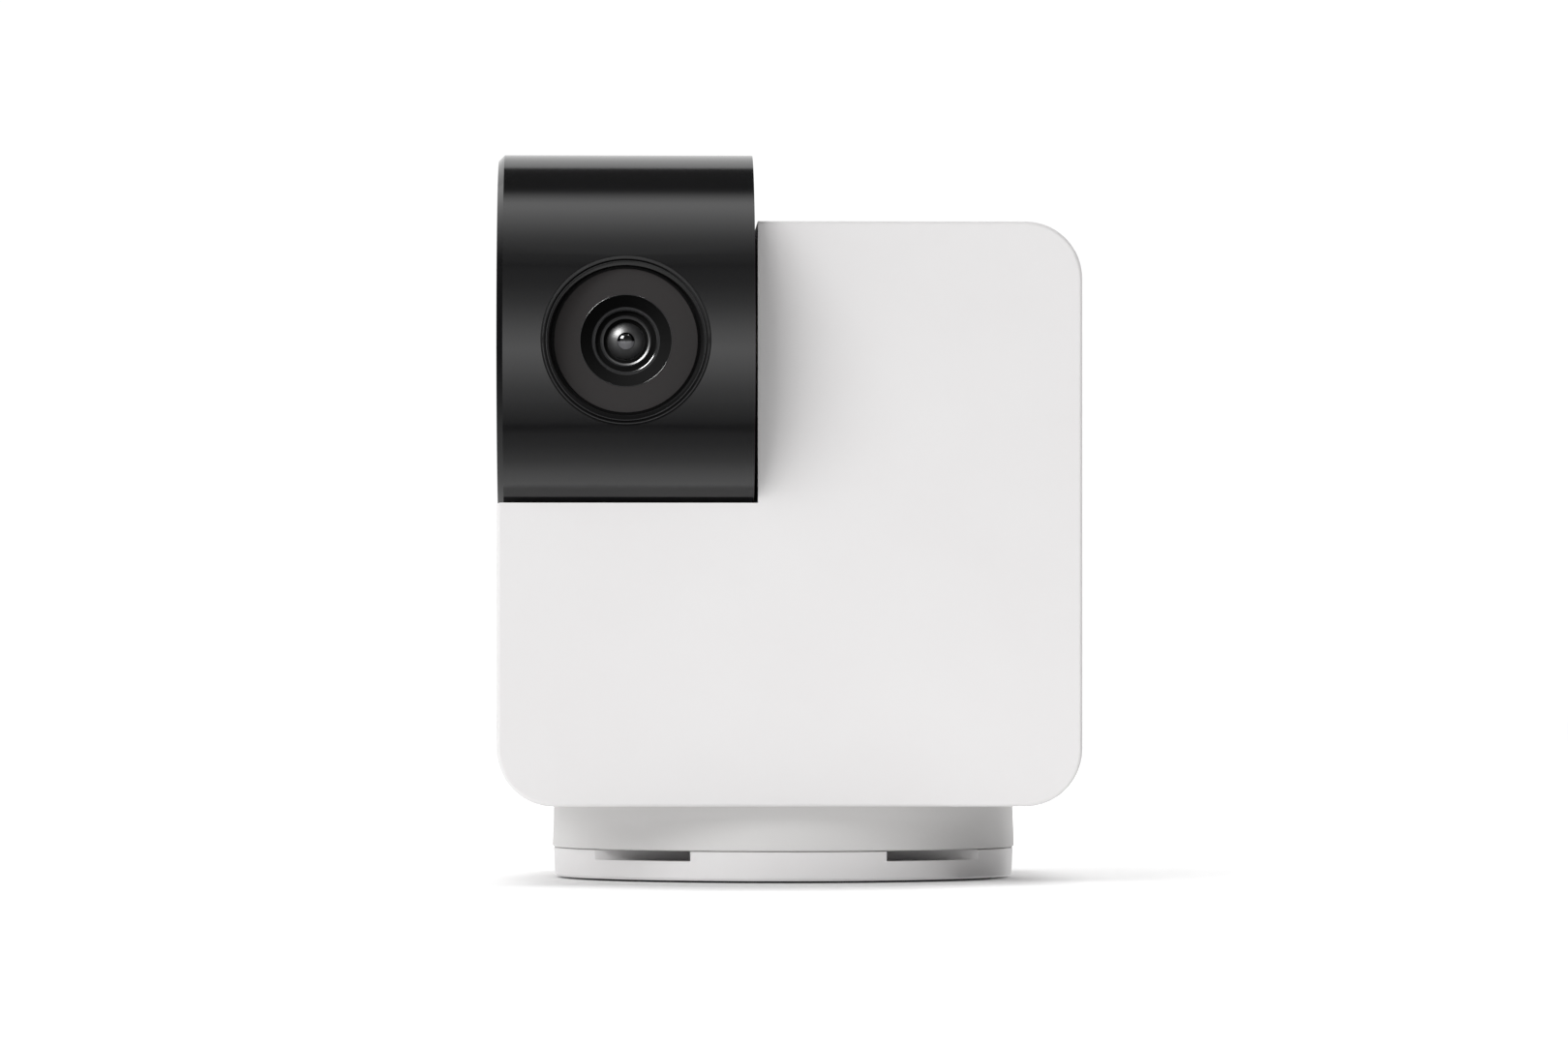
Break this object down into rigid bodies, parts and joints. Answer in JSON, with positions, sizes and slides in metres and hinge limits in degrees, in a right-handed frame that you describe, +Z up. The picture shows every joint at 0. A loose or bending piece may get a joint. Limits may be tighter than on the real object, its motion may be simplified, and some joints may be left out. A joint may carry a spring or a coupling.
{
  "type": "pan and tilt pet camera",
  "caption": "Indoor pet camera: a boxy white body that turns on a round base, with a black barrel-shaped camera head tilting in a pocket at its upper corner.",
  "frame": {"origin": "on the body's turning axis, on the surface that the base stands on, at the mouth of the tripod thread", "axes": "+Z up along the turning axis, -Y towards the front with the lens, +X to the right seen from the front"},
  "size_m": [0.077, 0.0803, 0.0969],
  "materials": {
    "white_plastic": "fine satin moulded surface",
    "black_gloss_plastic": "polished moulded surface",
    "face_plastic": "smooth satin, passes infrared light",
    "black_matt_plastic": "satin moulded surface",
    "acetal": "natural, slightly waxy",
    "steel": "bright zinc plated",
    "brass": "turned",
    "rubber": "matt moulded",
    "board_green": "solder mask on glass fibre",
    "board_black": "moulded package",
    "lens_glass": "polished and coated"
  },
  "bodies": {
    "base": {"foot_ring": "rubber", "base_plate": "white_plastic", "tripod_insert": "brass", "ballast_ring": "steel", "pan_post": "acetal", "base_screws": "steel", "slide_washer": "white_plastic", "pan_gear": "acetal", "pan_gear_screws": "steel"},
    "turntable": {"neck_skirt": "white_plastic", "skirt_screws": "steel", "body_shell": "white_plastic", "rear_cover": "white_plastic", "rear_screws": "steel", "pan_bush": "acetal", "tilt_bush": "acetal", "pan_motor": "steel", "pan_motor_screws": "steel", "tilt_motor": "steel", "tilt_motor_screws": "steel", "main_board": "board_green", "main_board_chips": "board_black", "main_board_screws": "steel", "wifi_antenna": "board_black", "speaker": "black_matt_plastic", "speaker_gasket": "rubber", "power_board": "board_green", "power_inlet": "steel", "power_board_screws": "steel", "reset_switch": "black_matt_plastic", "microphone": "steel"},
    "pan_drive": {"pan_motor_shaft": "steel", "pan_pinion": "acetal"},
    "tilt_drive": {"tilt_motor_shaft": "steel", "tilt_pinion": "acetal"},
    "tilt_head": {"head_shell": "black_gloss_plastic", "head_end_cap": "black_gloss_plastic", "lens_bezel": "black_gloss_plastic", "face_window": "face_plastic", "lens_hood": "black_matt_plastic", "front_lens": "lens_glass", "rear_lens": "lens_glass", "lens_barrel": "black_matt_plastic", "lens_holder": "black_matt_plastic", "infrared_filter": "lens_glass", "image_sensor": "board_black", "sensor_board": "board_green", "sensor_board_screws": "steel", "led_board": "board_black", "infrared_leds": "face_plastic", "tilt_shaft": "acetal", "tilt_shaft_screws": "steel", "tilt_gear": "acetal", "tilt_clip": "steel"},
    "button": {"reset_button": "black_matt_plastic"}
  },
  "joints": [
    {"name": "pan_turn", "type": "hinge", "parent": "base", "child": "turntable", "pos_m": [0, 0, 0.0102], "axis": [0, 0, 1], "range_deg": [-170, 170]},
    {"name": "head_tilt", "type": "hinge", "parent": "turntable", "child": "tilt_head", "pos_m": [0, -0.0191, 0.0711], "axis": [-1, 0, 0], "range_deg": [-25, 80]},
    {"name": "pan_pinion_spin", "type": "hinge", "parent": "turntable", "child": "pan_drive", "pos_m": [0.0147, -0.01235, 0.0157], "axis": [0, 0, 1], "range_deg": [-515, 515]},
    {"name": "tilt_pinion_spin", "type": "hinge", "parent": "turntable", "child": "tilt_drive", "pos_m": [0, -0.00188, 0.06744], "axis": [-1, 0, 0], "range_deg": [-215, 70]},
    {"name": "reset_press", "type": "slide", "parent": "turntable", "child": "button", "axis": [0, -1, 0], "range_m": [0, 0.0005], "stiffness_N_per_m": 1500}
  ],
  "couplings": [
    {"joint": "pan_pinion_spin", "follows": "pan_turn", "ratio": 3},
    {"joint": "tilt_pinion_spin", "follows": "head_tilt", "ratio": -2.6667}
  ]
}
